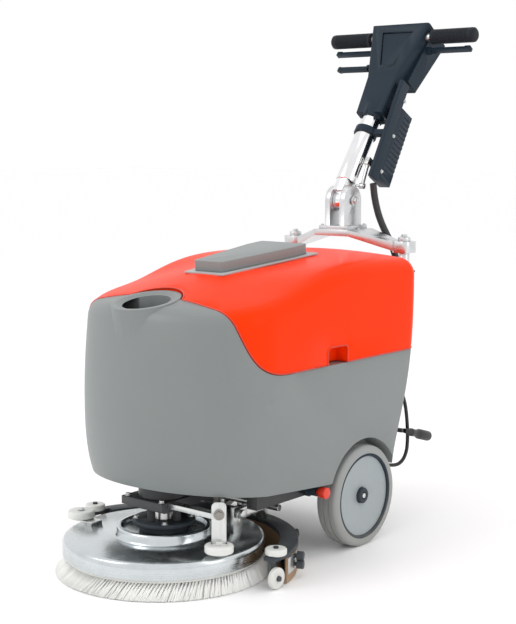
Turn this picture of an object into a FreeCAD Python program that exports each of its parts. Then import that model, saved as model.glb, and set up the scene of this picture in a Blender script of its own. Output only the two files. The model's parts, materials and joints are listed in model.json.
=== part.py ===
"""Walk-behind wet and dry floor scrubber, as a parametric FreeCAD document in millimetres.

+Z is up, the brush end faces -Y, the operator stands at +Y, and the floor is z = 0.
Inside this file every y is counted from the brush axis; each sub-part's Placement then
moves it by brush_y, so that the origin lies on the floor under the middle of the object.
"""
import FreeCAD, Part
import math
import os
import re
import Sketcher
from types import SimpleNamespace
from FreeCAD import Placement, Rotation
from FreeCAD import Vector as V

doc = FreeCAD.newDocument("floor_scrubber")

# --- driving dimensions ---------------------------------------------------------------------
SIZES = [
    ("brush_y", -339.5, "brush axis, from the middle of the object"),
    ("run_gap", 0.5, "clearance of a turning or sliding fit"),
    ("part_gap", 2.5, "gap between the two tanks"),
    # brush head
    ("brush_r", 216, "bristle tips on the floor"),
    ("root_r", 196, "bristle roots and brush plate"),
    ("eye_r", 84, "open middle of the bristle field, at the floor"),
    ("bristle_top", 30, "height of the bristle roots"),
    ("plate_thick", 10, "brush plate"),
    ("deck_r", 201, "deck skirt"),
    ("deck_low", 36, "lower edge of the deck skirt"),
    ("deck_top", 70, "upper face of the deck"),
    ("deck_wall", 2.5, "sheet of the deck"),
    ("collar_r", 94, "raised collar on the deck"),
    ("collar_top", 90, "top of the collar"),
    ("shaft_r", 18, "drive shaft"),
    ("flange_r", 63, "black drive flange over the collar"),
    ("gear_low", 128, "underside of the gear case"),
    ("motor_r", 50, "brush motor"),
    ("motor_top", 255, "top of the brush motor"),
    # wheels
    ("wheel_r", 107, "tyre"),
    ("tyre_thick", 17, "tyre, from its seat to its tread"),
    ("rim_thick", 6, "black rim around the grey disc"),
    ("tyre_wide", 50, "width of a tyre"),
    ("wheel_face", 226, "outer face of a wheel"),
    ("axle_y", 374.5, "wheel axle, from the brush axis"),
    ("axle_r", 12, "wheel axle"),
    ("arch_gap", 16, "wheel arch around the tyre"),
    # tanks
    ("tank_half", 226, "half width of both tanks"),
    ("nose_start", 80, "where the flanks turn into the nose"),
    ("nose_long", 198, "length of the half ellipse of the nose"),
    ("rear_face", 578, "upper rear face"),
    ("corner_r", 42, "upright rear corners"),
    ("edge_r", 38, "rounding along the top edges"),
    ("tank_low", 155, "underside of the solution tank"),
    ("split_z", 399, "joint between the tanks, on the flanks"),
    ("crown_z", 607, "highest level of the recovery tank"),
    ("tank_wall", 5, "wall of both tanks"),
    ("fill_y", -45, "centre of the fill opening"),
    ("fill_z", 541, "level of the fill rim"),
    ("fill_r", 47.7, "fill opening"),
    ("fill_rim", 68.7, "outside of the fill rim"),
    ("fill_tilt", 10.8, "forward tilt of the fill rim"),
    ("motor_well", 62, "well in the tank for the brush motor"),
    # cover
    ("cover_front", 135, "front edge of the dome cover"),
    ("cover_rear", 385, "rear edge of the dome cover"),
    ("cover_nose", 38, "half width of its front edge"),
    ("cover_tail", 66, "half width of its rear edge"),
    ("cover_drop", 27.5, "front edge of the cover, below the crown"),
    ("cover_rise", 5.7, "slope of the cover, degrees"),
    ("cover_high", 21, "height of the dome"),
    # handle
    ("post_x", 153, "posts and uprights"),
    ("post_y", 618, "posts, from the brush axis"),
    ("pad_lift", 27, "underside of the bridge pad, above the crown"),
    ("pad_thick", 14, "bridge pad"),
    ("pivot_y", 597, "handle pivot"),
    ("pivot_lift", 105, "handle pivot, above the crown"),
    ("handle_lean", 35.3, "lean of the handle, degrees"),
    ("tube_r", 23, "handle tube"),
    ("tube_out", 17, "tube axis in front of the pivot"),
    ("tube_end", 226, "upper end of the tube, along the handle"),
    ("bar_up", 440, "cross bar, along the handle"),
    ("bar_out", 27, "cross bar in front of the pivot line"),
    ("bar_half", 201, "half length of the cross bar with its grips"),
    ("bar_r", 11, "cross bar"),
    ("grip_r", 17.5, "grips"),
    # squeegee
    ("blade_r", 266, "outer blade"),
    ("squeegee_r", 268, "outside of the squeegee body"),
    ("squeegee_in", 232, "inside of the squeegee body"),
    ("squeegee_low", 34, "underside of the squeegee body"),
    ("squeegee_top", 62, "top of the squeegee body"),
    ("roller_r", 21, "end rollers of the squeegee"),
    # brush head suspension
    ("arm_x", 122, "link arms"),
    ("arm_front_y", 92, "front pins of the link arms"),
    ("arm_front_z", 111, "front pins of the link arms"),
    ("arm_rear_y", 185, "rear pins of the link arms"),
    ("arm_rear_z", 119, "rear pins of the link arms"),
    ("pin_r", 5, "pins of the link arms"),
    ("rail_x", 152, "chassis rails"),
    ("rail_wide", 26, "chassis rails"),
    ("rail_low", 124, "underside of the chassis rails"),
    ("bumper_r", 27.5, "bumper rollers"),
    ("bumper_x", 188, "bumper rollers"),
    ("bumper_y", -48, "bumper rollers"),
    ("bumper_z", 78, "underside of the bumper rollers"),
    ("bumper_thick", 15, "bumper rollers"),
]
sheet = doc.addObject("Spreadsheet::Sheet", "Sizes")
for row, (alias, value, note) in enumerate(SIZES, start=1):
    sheet.set("A%d" % row, note)
    sheet.set("B%d" % row, str(value))
    sheet.setAlias("B%d" % row, alias)
doc.recompute()
S = SimpleNamespace(**{alias: sheet.get(alias) for alias, value, note in SIZES})
COVER_LOW = S.crown_z - S.cover_drop
PAD_LOW = S.crown_z + S.pad_lift
PIVOT_Z = S.crown_z + S.pivot_lift

SIDES = ((1, "right"), (-1, "left"))
subparts = []


# --- helpers --------------------------------------------------------------------------------
def expression(text):
    """The text with every size written as a reference into the sheet."""
    return re.sub(r"\b([a-z]+_[a-z_]+)\b", r"Sizes.\1", str(text))


def bind(item, **values):
    for name, text in values.items():
        item.setExpression(name.replace("__", "."), expression(text))
    return item


def at(item, x, y, z):
    return bind(item, Placement__Base__x=x, Placement__Base__y=y, Placement__Base__z=z)


def block(x, y, z, dx, dy, dz):
    """A block given by its middle and its three lengths."""
    item = bind(doc.addObject("Part::Box", "Block"), Length=dx, Width=dy, Height=dz)
    return at(item, f"{x} - ({dx}) / 2", f"{y} - ({dy}) / 2", f"{z} - ({dz}) / 2")


TURNS = {
    "Z": Rotation(),
    "X": Rotation(V(0, 0, 1), V(1, 0, 0)),
    "Y": Rotation(V(0, 0, 1), V(0, 1, 0)),
}


def rod(x, y, z, radius, length, axis="Z", sweep=360, start=0):
    """A cylinder from (x, y, z) along an axis, or a sector of one about the Z axis."""
    item = bind(doc.addObject("Part::Cylinder", "Rod"), Radius=radius, Height=length)
    item.Angle = sweep
    item.Placement = Placement(V(), TURNS[axis].multiply(Rotation(V(0, 0, 1), start)))
    return at(item, x, y, z)


def fuse(*items):
    if len(items) == 1:
        return items[0]
    item = doc.addObject("Part::MultiFuse", "Joined")
    item.Shapes = list(items)
    item.Refine = True
    return item


def cut(base, *tools):
    item = doc.addObject("Part::Cut", "Cut")
    item.Base = base
    item.Tool = fuse(*tools)
    item.Refine = True
    return item


def ring(radius, inner, z, height, sweep=360, start=0):
    """A ring, or a sector of one, about the brush axis."""
    outer = rod(0, 0, z, radius, height, sweep=sweep, start=start)
    return cut(outer, rod(0, 0, f"{z} - 1", inner, f"{height} + 2"))


def finish(name, *items, frame=None):
    """The finished sub-part: one item, or a group of separate solids, put in its place."""
    item = items[0]
    if len(items) > 1 or item.TypeId in ("Part::Box", "Part::Cylinder"):
        item = doc.addObject("Part::Compound", "Group")
        item.Links = list(items)
    item.Label = name
    if frame is None:
        bind(item, Placement__Base__y="brush_y")
    else:
        item.Placement = frame
    subparts.append(item)
    return item


def shaped(name, shape, frame=None):
    """A sub-part whose shape is made with Part's own functions."""
    item = doc.addObject("Part::Feature", "Shaped")
    item.Shape = shape
    return finish(name, item, frame=frame)


def loose(shape):
    """A shape used as one side of a boolean of the document."""
    item = doc.addObject("Part::Feature", "Loose")
    item.Shape = shape
    return item


def outline(body, plane, points):
    """A closed sketch of straight lines whose corners are bound to the sheet."""
    origin = [item for item in body.Origin.OriginFeatures if item.Role == plane][0]
    sketch = body.newObject("Sketcher::SketchObject", "Outline")
    sketch.AttachmentSupport = (origin, [""])
    sketch.MapMode = "FlatFace"
    count = len(points)
    spots = [V(math.cos(math.tau * i / count), math.sin(math.tau * i / count), 0) for i in range(count)]
    for i in range(count):
        sketch.addGeometry(Part.LineSegment(spots[i], spots[(i + 1) % count]))
    for i in range(count):
        sketch.addConstraint(Sketcher.Constraint("Coincident", i, 2, (i + 1) % count, 1))
    for i, point in enumerate(points):
        for kind, text in zip(("DistanceX", "DistanceY"), point):
            number = sketch.addConstraint(Sketcher.Constraint(kind, i, 1, 1.0))
            sketch.setExpression("Constraints[%d]" % number, expression(text))
    return sketch


def turned(name, points, axis="V_Axis", y=0, x=0, z=0):
    """A turned piece: its half section in the XZ plane, spun about one of the sketch's axes."""
    body = doc.addObject("PartDesign::Body", "Turned")
    sketch = outline(body, "XZ_Plane", points)
    spin = body.newObject("PartDesign::Revolution", "Spin")
    spin.Profile = sketch
    spin.ReferenceAxis = (sketch, [axis])
    spin.Angle = 360
    body.Label = name
    at(body, x, f"brush_y + {y}", z)
    subparts.append(body)
    return body


def path_tube(points, radius):
    """A tube along straight runs joined by tangent arcs, with the radii of its arcs."""
    radii = []
    edges = []
    start = points[0]
    for before, corner, after in zip(points, points[1:], points[2:]):
        back = before.sub(corner)
        ahead = after.sub(corner)
        reach = 0.45 * min(back.Length, ahead.Length)
        turn = math.pi - back.getAngle(ahead)
        radii.append(reach / math.tan(turn / 2))
        enter = corner + back.normalize() * reach
        leave = corner + ahead.normalize() * reach
        inward = (back + ahead).normalize()
        middle = corner + inward * (radii[-1] / math.cos(turn / 2) - radii[-1])
        edges.append(Part.LineSegment(start, enter).toShape())
        edges.append(Part.Arc(enter, middle, leave).toShape())
        start = leave
    edges.append(Part.LineSegment(start, points[-1]).toShape())
    wire = Part.Wire(edges)
    first = points[1].sub(points[0])
    circle = Part.Wire(Part.makeCircle(radius, points[0], first))
    tube = wire.makePipeShell([circle], True, False)
    whole = wire.Length * math.pi * radius ** 2
    print("cord: length %.0f mm, radii %s, volume against section x length %.4f"
          % (wire.Length, [round(r) for r in radii], tube.Volume / whole))
    return tube


# --- tanks ----------------------------------------------------------------------------------
# Levels of the nose above the underside: height, how far the nose and the rear draw in.
NOSE_LEVELS = ((-15, 60, 78), (25, 29, 71), (105, 3, 44), (205, 0, 15), (310, 12, 2), (405, 34, 0),
               (490, 62, 0))
# Top lines from nose to rear, y and depth below the crown: the middle, where the cover sits
# in a shallow valley, and the shoulders on both sides of it.
MIDDLE_LINE = ((-260, 110), (-70, 73), (60, 44), (135, 28.5), (260, 16), (385, 3.5), (490, 1), (700, 12))
SHOULDER_LINE = ((-260, 122), (-70, 88), (60, 58), (135, 43), (210, 26), (300, 11), (490, 5), (700, 16))
# Joint line on the flanks between the tanks, from the level stretch up to the nose.
JOINT_LINE = ((150, 0), (96, 1), (60, 8), (34, 22), (14, 46), (0, 75), (-12, 108), (-20, 150))


def level_outline(z, half, long, rear, corner):
    """The tanks' outline at one level: half ellipse nose, straight flanks, round rear corners."""
    start = S.nose_start
    bow = Part.Ellipse(V(half, start, z), V(0, start - long, z), V(0, start, z))
    nose = Part.Arc(bow, 0, math.pi)
    if nose.value(math.pi / 2).y > start:
        nose = Part.Arc(bow, math.pi, math.tau)
    slant = corner * math.sqrt(0.5)
    sides = []
    for side in (-1, 1):
        centre = V(side * (half - corner), rear - corner, z)
        flank_end = V(side * half, rear - corner, z)
        rear_end = V(side * (half - corner), rear, z)
        sides.append(Part.LineSegment(V(side * half, start, z), flank_end).toShape())
        sides.append(Part.Arc(flank_end, centre + V(side * slant, slant, 0), rear_end).toShape())
    back = Part.LineSegment(V(half - corner, rear, z), V(corner - half, rear, z)).toShape()
    return Part.Wire(Part.__sortEdges__([nose.toShape(), *sides, back]))


def across(points, close_with):
    """A solid across the whole width: the area under or over a smooth line in the YZ plane."""
    line = Part.BSplineCurve()
    line.interpolate([V(-300, y, z) for y, z in points])
    corners = [V(-300, y, z) for y, z in (points[-1], *close_with, points[0])]
    straight = [Part.makeLine(a, b) for a, b in zip(corners, corners[1:])]
    return Part.Face(Part.Wire([line.toShape(), *straight])).extrude(V(600, 0, 0))


def top_and_bottom(shrink):
    """The space between the tanks' underside and their crowned top."""
    low = S.tank_low + shrink
    wires = []
    for x, points, drop in ((-320, SHOULDER_LINE, 18), (-150, SHOULDER_LINE, 0), (-60, MIDDLE_LINE, 0),
                            (60, MIDDLE_LINE, 0), (150, SHOULDER_LINE, 0), (320, SHOULDER_LINE, 18)):
        line = Part.BSplineCurve()
        line.interpolate([V(x, y, S.crown_z - below - shrink - drop) for y, below in points])
        ends = (line.EndPoint, V(x, 700, low), V(x, 250, low), V(x, -260, low + 41), line.StartPoint)
        straight = [Part.makeLine(a, b) for a, b in zip(ends, ends[1:])]
        wires.append(Part.Wire([line.toShape(), *straight]))
    return Part.makeLoft(wires, True, False)


def tank_block(shrink):
    """Both tanks as one smooth body, drawn in all round by shrink."""
    half = S.tank_half - shrink
    corner = S.corner_r - shrink
    levels = []
    rise = (S.crown_z - S.tank_low) / 452
    for height, nose, rear in NOSE_LEVELS:
        long = S.nose_long - nose - shrink
        z = S.tank_low + height * rise
        levels.append(level_outline(z, half, long, S.rear_face - rear - shrink, corner))
    body = Part.makeLoft(levels, True, False)
    body = body.common(top_and_bottom(shrink))
    rims = [e for e in body.Edges if e.BoundBox.ZMin > S.crown_z - 110 - shrink]
    return body.makeFillet(S.edge_r - shrink, rims)


def above_joint(lift):
    """Everything above the joint between the tanks, raised by lift."""
    turn = lift * 0.7
    line = [(y + (turn if drop else 0), S.split_z + drop + lift) for y, drop in JOINT_LINE]
    line = [(720, S.split_z + lift), *line]
    return across(line[1:], ((line[-1][0], 800), (720, 800), (720, S.split_z + lift)))


def tilted(shape, more=0):
    """The shape turned from upright at the origin to the axis of the fill opening, or past it."""
    moved = shape.copy()
    moved.Placement = Placement(V(0, S.fill_y, S.fill_z), Rotation(V(1, 0, 0), S.fill_tilt + more))
    return moved


def solution_tank():
    block_all = tank_block(0)
    inner = tank_block(S.tank_wall)
    lower = block_all.cut(above_joint(0))
    rim = tilted(Part.makeCylinder(S.fill_rim, 110, V(0, 0, -110)))
    lower = lower.fuse(rim.common(above_joint(-200)).cut(Part.makeBox(600, 600, 200, V(-300, 60, 400))))
    well = Part.makeCylinder(S.motor_well, 400, V(0, 0, S.motor_top + 21 - 400))
    well_wall = Part.makeCylinder(S.motor_well + S.tank_wall, 400, V(0, 0, S.motor_top + 26 - 400))
    nose = Part.makeBox(600, 330, 600, V(-300, -200, 0)).cut(well_wall)
    water = inner.cut(above_joint(-S.tank_wall)).common(nose)
    bay = Part.makeBox(2 * (S.tank_half - 56), 385, 300, V(56 - S.tank_half, 145, S.tank_low + 32))
    bay = bay.makeFillet(12, [e for e in bay.Edges if e.BoundBox.ZLength > 200])
    bore = tilted(Part.makeCylinder(S.fill_r, 90, V(0, 0, -80)))
    throat = tilted(Part.makeCone(S.fill_rim - 16, S.fill_rim - 9, 5, V(0, 0, -4)))
    arches = []
    for side in (1, -1):
        depth = S.tyre_wide + 6
        start = V(side * (S.wheel_face + 3), S.axle_y, S.wheel_r)
        arches.append(Part.makeCylinder(S.wheel_r + S.arch_gap, depth, start, V(-side, 0, 0)))
    conduit_hole = Part.makeCylinder(14, 60, V(101, 530, 382), V(0, 1, 0))
    lead_hole = Part.makeCylinder(6.5, 60, V(173, 538, 312), V(0, 1, 0))
    hollow = lower.cut(Part.makeCompound([water, well, bay, bore, throat]))
    return hollow.cut([*arches, conduit_hole, lead_hole, *flank_panels()])


def flank_panels():
    """The flat flank behind the nose lies a little deeper, along a curved edge."""
    depth = 2.5
    edge = ((135, 402), (60, 352), (17, 331), (-20, 285), (-38, 220), (-34, 150))
    line = Part.BSplineCurve()
    line.interpolate([V(0, y, z) for y, z in edge])
    corners = [V(0, y, z) for y, z in (edge[-1], (600, 150), (600, 402), edge[0])]
    straight = [Part.makeLine(a, b) for a, b in zip(corners, corners[1:])]
    face = Part.Face(Part.Wire([line.toShape(), *straight]))
    panels = []
    for side in (1, -1):
        panel = face.extrude(V(20, 0, 0))
        panel.translate(V(S.tank_half - depth if side > 0 else -S.tank_half - 20 + depth, 0, 0))
        panels.append(panel)
    return panels


def recovery_tank():
    whole = tank_block(0).common(above_joint(S.part_gap))
    room = tank_block(S.tank_wall + 1).common(above_joint(S.part_gap + S.tank_wall))
    room = room.common(Part.makeBox(600, 700, 600, V(-300, 82, 300)))
    around_rim = Part.makeCylinder(S.fill_rim + 5, 240, V(0, 0, -210))
    swing_room = tilted(around_rim, 6)
    mouth = cover_outline(-9, -20, 60)
    notches = []
    for side in (1, -1):
        notch = Part.makeBox(56, 66, 38, V(side * S.tank_half - 28, 240, S.split_z - 1))
        upper = [e for e in notch.Edges if e.BoundBox.XLength > 20 and e.BoundBox.ZMin > S.split_z + 30]
        notches.append(notch.makeFillet(10, upper))
    backing = []
    for side in (1, -1):
        backing.append(Part.makeBox(70, 78, 46, V(side * S.tank_half - 35, 234, S.split_z)))
    inlet = Part.makeCylinder(18, 60, V(0, S.rear_face - 30, 475), V(0, 1, 0))
    spigot = Part.makeCylinder(21, 26, V(0, S.rear_face - 4, 475), V(0, 1, 0))
    vent = Part.makeCylinder(20, 40, V(0, 455, S.split_z - 10))
    shell = whole.cut(room.cut(Part.makeCompound(backing)))
    return shell.fuse(spigot).cut([tilted(around_rim), swing_room, mouth, inlet, vent, *notches])


def cover_outline(grow, low, high):
    """A block on the cover's outline, grown all round, lying on the slope of the cover."""
    front = V(0, S.cover_front, 0)
    corners = []
    for side in (1, -1):
        corners.append([
            V(side * (S.cover_nose + grow), -grow, low),
            V(side * (S.cover_tail - 1 + grow), S.cover_rear - S.cover_front - 45, low),
            V(side * (S.cover_tail - 4 + grow), S.cover_rear - S.cover_front + grow, low),
        ])
    wire = Part.makePolygon([*corners[0], *reversed(corners[1]), corners[0][0]])
    solid = Part.Face(wire).extrude(V(0, 0, high))
    solid = solid.makeFillet(7, [e for e in solid.Edges if e.BoundBox.ZLength > abs(high) - 1])
    solid.Placement = Placement(front + V(0, 0, COVER_LOW), Rotation(V(1, 0, 0), S.cover_rise))
    return solid


def tank_cover():
    dome = cover_outline(0, 4, S.cover_high)
    hollow = cover_outline(-3.5, -2, S.cover_high)
    pin_y = S.cover_rear + 9
    pin_z = COVER_LOW + (S.cover_rear - S.cover_front) * 0.0998 + 10
    knuckles = []
    for side in (1, -1):
        knuckle = Part.makeCylinder(5, 14, V(side * 26 - 7, pin_y, pin_z), V(1, 0, 0))
        strap = Part.makeBox(14, 12, 6, V(side * 26 - 7, pin_y - 12, pin_z - 1))
        knuckles.append(knuckle.fuse(strap))
    pin_hole = Part.makeCylinder(3, 100, V(-50, pin_y, pin_z), V(1, 0, 0))
    return dome.cut(hollow).fuse(knuckles).cut(pin_hole)


def cover_seal():
    """The light plate under the cover, with its pointed corners, on the tank's mouth."""
    run = S.cover_rear - S.cover_front
    front = S.cover_nose + 14
    tail = S.cover_tail + 14
    corners = [V(front, -15, 0), V(tail, run + 15, 0), V(-tail, run + 15, 0), V(-front, -15, 0)]
    plate = Part.Face(Part.makePolygon([*corners, corners[0]])).extrude(V(0, 0, 3.4))
    plate.Placement = Placement(V(0, S.cover_front, COVER_LOW), Rotation(V(1, 0, 0), S.cover_rise))
    return plate.cut(cover_outline(-8, -20, 60))


def bar_between(start, end, width, thick):
    """A flat bar with round ends in the YZ plane, thick along X, between two (y, z) points."""
    along = V(0, end[0] - start[0], end[1] - start[1])
    bar = Part.makeBox(thick, width, along.Length, V(-thick / 2, -width / 2, 0))
    lean = math.degrees(math.atan2(along.y, along.z))
    bar.Placement = Placement(V(0, start[0], start[1]), Rotation(V(1, 0, 0), -lean))
    ends = [Part.makeCylinder(width / 2, thick, V(-thick / 2, y, z), V(1, 0, 0)) for y, z in (start, end)]
    return bar.fuse(ends).removeSplitter()


def moved(shape, x, y=0, z=0):
    copy = shape.copy()
    copy.translate(V(x, y, z))
    return copy


shaped("solution_tank", solution_tank())
shaped("recovery_tank", recovery_tank())
shaped("tank_cover", tank_cover())


# The light plate carries the hinge pin of the cover, in two lugs behind it.
HINGE_Y = "cover_rear + 9"
HINGE_Z = "crown_z - cover_drop + (cover_rear - cover_front) * 0.0998 + 10"
finish("cover_seal", fuse(
    loose(cover_seal()),
    *[block(side * 40, HINGE_Y, f"{HINGE_Z} - 3", 8, 10, 13) for side, name in SIDES],
    rod(-44, HINGE_Y, HINGE_Z, 2.5, 88, "X")))

# Inside the recovery tank: suction pipe with its float cage, the float ball and the vacuum motor.
PIPE_Y = "cover_rear + 70"
finish("float_cage", fuse(
    cut(rod(0, PIPE_Y, "split_z + part_gap + tank_wall", 23, "crown_z - 62 - split_z - part_gap - tank_wall"),
        rod(0, PIPE_Y, "split_z", 20, 400)),
    cut(rod(0, PIPE_Y, "crown_z - 62", 30, 52), rod(0, PIPE_Y, "crown_z - 58", 26, 44),
        rod(0, PIPE_Y, "crown_z - 70", 20, 20),
        block(0, PIPE_Y, "crown_z - 38", 80, 20, 28), block(0, PIPE_Y, "crown_z - 38", 20, 80, 28))))
shaped("float_ball", Part.makeSphere(20.5, V(0, S.cover_rear + 70, S.crown_z - 53)))
finish("vacuum_motor", fuse(
    rod(-120, "rear_face - 84", "split_z + part_gap + tank_wall", 60, 92),
    rod(-120, "rear_face - 84", "split_z + part_gap + tank_wall + 92", 44, 26)))

# --- battery bay and chassis ----------------------------------------------------------------
finish("batteries", *[
    fuse(block(0, y, "tank_low + 32 + 92", 300, 165, 184),
         *[rod(x, f"{y} + 55", "tank_low + 32 + 184", 9, 10) for x in (-110, 110)])
    for y in (236, 424)])

LINK_X = "arm_x - 11"
MID_Y = 228
RAIL_Z = "(rail_low + tank_low) / 2"
RAIL_DEEP = "tank_low - rail_low"
upright = Part.Face(Part.makePolygon([V(0, y, z) for y, z in (
    (512, 124), (512, 150), (543, 260), (572, 360), (588, 465), (600, S.crown_z - 51), (636, S.crown_z - 51),
    (618, 465), (598, 356), (566, 256), (538, 150), (538, 124), (512, 124))])).extrude(V(26, 0, 0))
chassis = [block(0, y, RAIL_Z, "2 * rail_x", 22, RAIL_DEEP) for y in (MID_Y, 534)]
chassis_holes = [rod(x, MID_Y, 100, 5.6, 100) for x in (-100, 100)]
for side in (1, -1):
    chassis.append(block(f"{side} * rail_x", 318, RAIL_Z, "rail_wide", 454, RAIL_DEEP))
    chassis.append(block(f"{side} * rail_x", "axle_y", "wheel_r + 4", 14, 48, 44))
    chassis.append(block(f"{side} * ({LINK_X})", "arm_rear_y", "arm_rear_z + 8", 8, 26, 44))
    chassis.append(block(f"{side} * ({LINK_X})", "arm_rear_y + 24", "arm_rear_z + 26", 8, 60, 18))
    chassis.append(loose(moved(upright, side * S.post_x - 13)))
    chassis.append(block(f"{side} * post_x", "post_y", "crown_z - 49", 36, 36, 4))
chassis.append(block(183, 551, 214, 36, 9, 8))
chassis_holes.append(rod(-260, "axle_y", "wheel_r", "axle_r", 520, "X"))
chassis_holes.append(rod(-118, "arm_rear_y", "arm_rear_z", "pin_r + run_gap", 236, "X"))
finish("chassis_frame", cut(fuse(*chassis), *chassis_holes))

finish("wheel_axle", fuse(
    rod("14 - wheel_face", "axle_y", "wheel_r", "axle_r", "2 * wheel_face - 28", "X"),
    rod("3 - wheel_face", "axle_y", "wheel_r", 5.5, "2 * wheel_face - 6", "X")))

# --- wheels ---------------------------------------------------------------------------------
RIM_R = "wheel_r - tyre_thick"
DISC_R = "wheel_r - tyre_thick - rim_thick"
for side, name in SIDES:
    def face(inward):
        return f"{side} * (wheel_face - ({inward}))"

    bore = "axle_r + run_gap"
    turned(name + "_tyre", [
        (face("tyre_wide"), RIM_R), (face("tyre_wide"), "wheel_r - 7"), (face("tyre_wide - 6"), "wheel_r"),
        (face(6), "wheel_r"), (face(0), "wheel_r - 7"), (face(0), RIM_R)],
        "H_Axis", y="axle_y", z="wheel_r")
    turned(name + "_wheel", [
        (face(48), bore), (face(48), 24), (face(33), 24), (face(33), f"{DISC_R} - 5"),
        (face(46), f"{DISC_R} - 3"),
        (face(46), RIM_R), (face(1), RIM_R), (face(1), DISC_R), (face(27), DISC_R), (face(27), 24),
        (face(15), 24), (face(15), 16.5), (face(5), 16.5), (face(3), 14.5), (face(3), 8), (face(12), 8),
        (face(12), bore)],
        "H_Axis", y="axle_y", z="wheel_r")
    turned(name + "_wheel_disc", [
        (face(14), 17), (face(14), 62), (face(9), DISC_R), (face(5), DISC_R), (face(11), 60), (face(11), 17)],
        "H_Axis", y="axle_y", z="wheel_r")

# --- brush head -----------------------------------------------------------------------------
turned("brush_deck", [
    (30, "collar_top - 12.5"), ("collar_r - 12", "collar_top - 12.5"),
    ("collar_r - 6", "deck_top - deck_wall"),
    ("deck_r - 12", "deck_top - deck_wall"), ("deck_r - deck_wall - 2", "deck_top - 10"),
    ("deck_r - deck_wall", "deck_low"), ("deck_r", "deck_low"), ("deck_r", "deck_top - 9"),
    ("deck_r - 3", "deck_top - 3"), ("deck_r - 10", "deck_top"), ("collar_r + 3", "deck_top"),
    ("collar_r", "deck_top + 4"), ("collar_r", "collar_top - 3"), ("collar_r - 3", "collar_top"),
    ("collar_r - 8", "collar_top"), ("collar_r - 10", "collar_top - 3"), ("collar_r - 10", "collar_top - 10"),
    (30, "collar_top - 10")])
turned("drive_flange", [
    ("shaft_r + run_gap", "collar_top + 2"), (36, "collar_top + 2"), (36, "collar_top - 10"),
    (48, "collar_top - 10"), (48, "collar_top + 2"), ("flange_r - 3", "collar_top + 2"),
    ("flange_r", "collar_top + 5"), ("flange_r", "collar_top + 10"), ("flange_r - 2", "collar_top + 12"),
    ("shaft_r + run_gap", "collar_top + 12")])
turned("drive_hub", [
    (0, "bristle_top + plate_thick"), (56, "bristle_top + plate_thick"),
    (56, "bristle_top + plate_thick + 6"),
    ("shaft_r", "bristle_top + plate_thick + 8"), ("shaft_r", "gear_low - 2"), (0, "gear_low - 2")])
turned("brush_plate", [
    (20, "bristle_top"), ("root_r", "bristle_top"), ("root_r", "bristle_top + plate_thick"),
    (20, "bristle_top + plate_thick")])
turned("brush_bristles", [
    ("eye_r", 0), ("brush_r", 0), ("brush_r - 1", 5), ("root_r", "bristle_top"),
    ("eye_r + 9", "bristle_top")])
finish("gear_motor", fuse(
    block(0, 0, "gear_low + 3", 104, 104, 6), block(0, 0, "gear_low + 14", 110, 126, 16),
    rod(0, 0, "gear_low + 22", "motor_r", "motor_top - gear_low - 22"),
    *[rod(x, y, "collar_top + 12", 8, "gear_low - collar_top - 12")
      for x, y in ((-36, 0), (36, 0), (0, 36), (0, -36))]))

for side, name in SIDES:
    turned(name + "_bumper_roller", [
        ("4 + run_gap", 0), ("bumper_r - 2", 0), ("bumper_r", 2), ("bumper_r", "bumper_thick - 2"),
        ("bumper_r - 2", "bumper_thick"), ("4 + run_gap", "bumper_thick")],
        x=f"{side} * bumper_x", y="bumper_y", z="bumper_z")


def deck_brackets():
    """Zinc-plated brackets on the deck: roller tab, angle bracket and the two pivot lugs."""
    spot = V(S.bumper_x, S.bumper_y, 0)
    over = S.bumper_z + S.bumper_thick
    pieces = []
    for side in (1, -1):
        base = V(side * spot.x, spot.y, 0)
        pieces.append(Part.makeCylinder(4, S.bumper_thick + 9, base + V(0, 0, S.bumper_z - 4)))
        pieces.append(Part.makeCylinder(7, 3, base + V(0, 0, over + 3.5 if side > 0 else over + 1)))
    tab = Part.makeBox(60, 30, 3, V(-spot.x - 15, spot.y - 15, S.bumper_z - 4))
    riser = Part.makeBox(20, 30, S.bumper_z - 4 - S.deck_top, V(45 - spot.x - 20, spot.y - 15, S.deck_top))
    tab = tab.fuse(riser)
    foot = Part.makeBox(30, 34, 3, V(-15, -10, over + 0.5))
    plate = Part.makeBox(28, 4, 78, V(-14, 10, over + 0.5))
    upper = [e for e in plate.Edges if e.BoundBox.ZMin > over + 70 and e.BoundBox.YLength > 3]
    plate = plate.makeFillet(9, upper)
    bolt = Part.makeCylinder(9, 5, V(0, 10, over + 56), V(0, -1, 0))
    angle = foot.fuse([plate, bolt])
    angle.Placement = Placement(spot, Rotation(V(0, 0, 1), 42))
    arm = Part.makeBox(S.bumper_x - 62, 20, 10, V(55, spot.y - 2, S.gear_low + 12))
    pieces += [tab, angle, arm]
    for side in (1, -1):
        corner = V(side * (S.arm_x - 11) - 4, S.arm_front_y - 13, S.deck_top)
        lug = Part.makeBox(8, 26, S.arm_front_z + 13 - S.deck_top, corner)
        start = V(side * (S.arm_x - 11) - 10, S.arm_front_y, S.arm_front_z)
        pieces.append(lug.cut(Part.makeCylinder(S.pin_r + S.run_gap, 20, start, V(1, 0, 0))))
    return pieces[0].fuse(pieces[1:])


shaped("deck_brackets", deck_brackets())

link = bar_between((S.arm_front_y, S.arm_front_z), (S.arm_rear_y, S.arm_rear_z), 22, 6)
finish("link_arms", *[
    cut(loose(moved(link, side * S.arm_x)),
        rod(f"{side} * arm_x - 20", "arm_front_y", "arm_front_z", "pin_r", 40, "X"),
        rod(f"{side} * arm_x - 20", "arm_rear_y", "arm_rear_z", "pin_r", 40, "X"))
    for side, name in SIDES])
finish("link_pins", *[
    fuse(rod(f"{side} * (arm_x - 4) - 14", f"arm_{end}_y", f"arm_{end}_z", "pin_r", 28, "X"),
         rod(f"{side} * (arm_x + 7) - 3", f"arm_{end}_y", f"arm_{end}_z", 9, 6, "X"))
    for side, name in SIDES for end in ("front", "rear")])

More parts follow.
